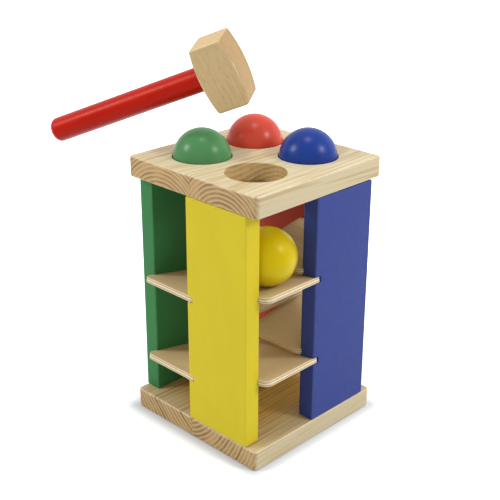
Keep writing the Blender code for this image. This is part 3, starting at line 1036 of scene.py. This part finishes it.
def makeFasteners():
    tree = makeFastenerTree()
    zinc = makeSpeckled("zincPlate", zincSet)
    beech = makeHardwood("dowelBeech", hardwoodSet, Matrix.Identity(3), Vector())
    kinds = (("screw", screwMesh, zinc, "zinc_steel"), ("dowel", dowelMesh, beech, "dowel_beech"))
    for kind, shape, finish, slot in kinds:
        low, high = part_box(f"blue_board_{kind}_1")
        otherLow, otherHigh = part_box(f"blue_board_{kind}_2")
        first, second = (low + high) / 2, (otherLow + otherHigh) / 2
        flat = Vector((first.x, first.y, 0))
        pattern = looseObject(kind, shape(low - flat, high - flat))
        values = {
            "Fastener": pattern,
            "Along": (first.x + second.x) / 2,
            "Out": -first.y,
            "Spread": second.x - first.x,
            "Finish": finish,
        }
        mesh = fromTree(kind + "Pairs", tree, values)
        bpy.data.objects.remove(pattern)
        stands = [f"{colour}_board_{kind}_{number}" for colour in colours for number in (1, 2)]
        makePiece("board" + kind.capitalize() + "s", mesh, finish, "tower", stands)


makeFasteners()
print("screws and dowels made")


# Balls: turned by hand, so a hair out of round

ballSet = {"cuts": 27, "outOfRound": 0.04 * mm, "lumps": 1.6, "unlike": 7.3, "crease": 60.0}


def makeBalls():
    for number, colour in enumerate(colours):
        node = colour + "_ball"
        low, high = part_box(node)
        middle, radius = (low + high) / 2, (high.z - low.z) / 2
        apart = Vector((ballSet["unlike"] * number, 0, 0))  # no two balls have the same lumps
        shell = bmesh.new()
        bmesh.ops.create_cube(shell, size=2.0)
        bmesh.ops.subdivide_edges(shell, edges=shell.edges, cuts=ballSet["cuts"], use_grid_fill=True)
        for v in shell.verts:
            spread = Vector([math.tan(part * math.pi / 4) for part in v.co]).normalized()
            lump = noise.noise(spread * ballSet["lumps"] + apart)
            v.co = middle + spread * (radius - ballSet["outOfRound"] * (0.5 + 0.5 * lump))
        look = dict(paintSet["ball"])
        if colour == "yellow":
            look["tint"] = paintSet["yellowTint"]
        finish = makePaint(colour + "BallPaint", paintSet["ballColour"][colour], look)
        mesh = toMesh(shell, colour)
        makePiece(colour + "Ball", mesh, finish, node, [node], ballSet["crease"])


makeBalls()
print("balls made")


# Hammer

hammerSet = {
    "arcSteps": 28,
    "swell": 3.5 * mm,
    "edge": 2.0 * mm,
    "edgeSteps": 4,
    "sharp": 40.0,  # degrees
    "bore": 28.0 * mm,  # from the handle's end out past the head's face
    "fit": 0.3 * mm,
    "chamfer": 0.6 * mm,
    "endRound": 5.0 * mm,
    "roundSteps": 10,
    "rows": 30,
    "steps": 72,
}
lieDown = Matrix.Rotation(quarterTurn, 4, "Y")  # from along Z to along X


def hammerFrame():  # the head's middle, and axes with X up the handle and Z along the head
    swing = joints["hammer_swing"]
    low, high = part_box("hammer_head")
    middle = (low + high) / 2
    reach = (middle - Vector(swing["pos_m"])).normalized()
    sideways = Vector(swing["axis"]).normalized()
    sideways = (sideways - reach * sideways.dot(reach)).normalized()
    return middle, Matrix((reach, sideways, reach.cross(sideways))).transposed()


def headMesh(half, handleEnd, handleRadius):  # barrel sides, flat cheeks, and a bore for the handle
    swell = hammerSet["swell"]
    arc = (half.z**2 + swell**2) / (2 * swell)
    sweep = math.asin(half.z / arc)
    outline = []
    for step in range(hammerSet["arcSteps"] + 1):
        angle = sweep * (2 * step / hammerSet["arcSteps"] - 1)
        outline.append((half.x - arc + arc * math.cos(angle), arc * math.sin(angle)))
    outline += [(-x, -z) for x, z in outline]
    shell = bmesh.new()
    near = [shell.verts.new((x, -half.y, z)) for x, z in outline]
    far = [shell.verts.new((x, half.y, z)) for x, z in outline]
    shell.faces.new(near)
    shell.faces.new(list(reversed(far)))
    bridge(shell, near, far)
    bmesh.ops.recalc_face_normals(shell, faces=shell.faces)
    sharp = [e for e in shell.edges if e.calc_face_angle() > math.radians(hammerSet["sharp"])]
    rounding = {"offset": hammerSet["edge"], "segments": hammerSet["edgeSteps"], "profile": 0.5}
    bmesh.ops.bevel(shell, geom=sharp, affect="EDGES", **rounding)
    wide = handleRadius + hammerSet["fit"]
    deep = handleEnd + hammerSet["fit"]
    mouth = handleEnd - hammerSet["bore"]
    bore = bmesh.new()
    addTurned(bore, [(0, deep), (wide, deep), (wide, mouth), (0, mouth)], hammerSet["steps"])
    boreMesh = toMesh(bore, "bore")
    boreMesh.transform(lieDown)
    return carve(toMesh(shell, "head"), boreMesh)


def handleMesh(low, high, radius):  # chamfered in the head, rounded at the free end
    chamfer, rounded = hammerSet["chamfer"], hammerSet["endRound"]
    profile = [(0, high.x), (radius - chamfer, high.x), (radius, high.x - chamfer)]
    for step in range(1, hammerSet["rows"]):
        share = step / hammerSet["rows"]
        profile.append((radius, high.x + (low.x + rounded - high.x) * share))
    for step in range(hammerSet["roundSteps"] + 1):
        angle = step / hammerSet["roundSteps"] * quarterTurn
        profile.append((radius - rounded * (1 - math.cos(angle)), low.x + rounded * (1 - math.sin(angle))))
    profile.append((0, low.x))
    rod = bmesh.new()
    addTurned(rod, profile, hammerSet["steps"])
    mesh = toMesh(rod, "handle")
    mesh.transform(lieDown)
    return mesh


def makeHammer():
    middle, turn = hammerFrame()
    intoPlace = Matrix.Translation(middle) @ turn.to_4x4()
    headLow, headHigh = ownBox("hammer_head", turn, middle)
    half = (headHigh - headLow) / 2
    low, high = ownBox("hammer_handle", turn, middle)
    radius = (high.y - low.y) / 2
    head = headMesh(half, high.x, radius)
    head.transform(intoPlace)
    wood = makeHardwood("hammerHardwood", hardwoodSet, turn, middle, half)
    makePiece("hammerHead", head, wood, "hammer", ["hammer_head"])
    handle = handleMesh(low, high, radius)
    handle.transform(intoPlace)

    def lengthways(tree):  # paint streaks run along the handle
        return inOwnFrame(tree, turn @ lieDown.to_3x3(), middle)

    paint = makePaint("handlePaint", paintSet["handleColour"], paintSet["handle"], lengthways)
    makePiece("hammerHandle", handle, paint, "hammer", ["hammer_handle"])


makeHammer()
print("hammer made")


# Floor and light

studioSet = {
    "fill": 0.62,
    "floorColour": (0.69, 0.72, 0.76, 1.0),
    "floorDrop": 0.2 * mm,
    "glowAndPaintedShadow": ((0 * mm, 14 * mm, 0.44), (14 * mm, 150 * mm, 0.56)),  # rises with the way out from the base; faded out near it, it paints a shadow there besides the real one
    "aim": (0, 0, 0.14),
    "lamps": {
        "overhead": {"place": (-0.04, -0.04, 1.45), "size": 0.26, "power": 2.9},
        "leftBox": {"place": (-0.88, 0.585, 0.91), "size": 0.34, "power": 6.1},
        "rightBox": {"place": (0.37, -1.02, 0.96), "size": 0.34, "power": 6.5},
        "backBox": {"place": (1.0, -0.22, 0.50), "size": 0.50, "power": 5.6, "mirrored": False},
    },
}
white = (1, 1, 1, 1)


def backgroundRay(tree):  # camera and mirrors see a plain white studio
    path = put(tree, "ShaderNodeLightPath").outputs
    seen = calc(tree, "MAXIMUM", path["Is Camera Ray"], path["Is Glossy Ray"])
    return calc(tree, "MAXIMUM", seen, path["Is Transmission Ray"])


def emptyTree(holder):
    holder.use_nodes = True
    holder.node_tree.nodes.clear()
    return holder.node_tree


def makeWorld(look):
    scene.world = bpy.data.worlds.new("studio")
    tree = emptyTree(scene.world)
    fill = put(tree, "ShaderNodeBackground", {"Color": white, "Strength": look["fill"]}).outputs[0]
    plain = put(tree, "ShaderNodeBackground", {"Color": white, "Strength": 1.0}).outputs[0]
    mixed = put(tree, "ShaderNodeMixShader", {0: backgroundRay(tree), 1: fill, 2: plain}).outputs[0]
    put(tree, "ShaderNodeOutputWorld", {"Surface": mixed})


def makeFloor(look):  # takes the shadow, and glows to white away from the base; the glow fading out near the base also paints a shadow there
    floor = bpy.data.materials.new("paleFloor")
    tree = emptyTree(floor)
    matt = put(tree, "ShaderNodeBsdfDiffuse", {"Color": look["floorColour"]}).outputs[0]
    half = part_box("base_plate")[1]
    beyond = vec(tree, "SUBTRACT", vec(tree, "ABSOLUTE", objectPlace(tree)), (half.x, half.y, 0))
    away = vec(tree, "LENGTH", vec(tree, "MAXIMUM", beyond), give="Value")
    # the first band fades to nothing at the base, painting a shadow around it besides the real one
    near, far = [smooth(tree, away, start, end, 0.0, share) for start, end, share in look["glowAndPaintedShadow"]]
    strength = times(tree, plus(tree, near, far), backgroundRay(tree))
    shine = put(tree, "ShaderNodeEmission", {"Color": white, "Strength": strength}).outputs[0]
    both = put(tree, "ShaderNodeAddShader", {0: matt, 1: shine}).outputs[0]
    put(tree, "ShaderNodeOutputMaterial", {"Surface": both})
    shell = bmesh.new()
    bmesh.ops.create_grid(shell, x_segments=1, y_segments=1, size=8.0)
    mesh = toMesh(shell, "floor", turnOut=False)
    mesh.transform(Matrix.Translation((0, 0, cadBox[0].z - look["floorDrop"])))
    mesh.materials.append(floor)
    looseObject("floor", mesh)


def makeLamps(look):
    for name, lamp in look["lamps"].items():
        data = bpy.data.lights.new(name, "AREA")
        data.shape = "DISK"
        data.size = lamp["size"]
        data.energy = lamp["power"]
        thing = looseObject(name, data)
        thing.location = lamp["place"]
        aim(thing, look["aim"])
        thing.visible_camera = False
        thing.visible_glossy = lamp.get("mirrored", True)


makeWorld(studioSet)
makeFloor(studioSet)
makeLamps(studioSet)
print("studio ready")
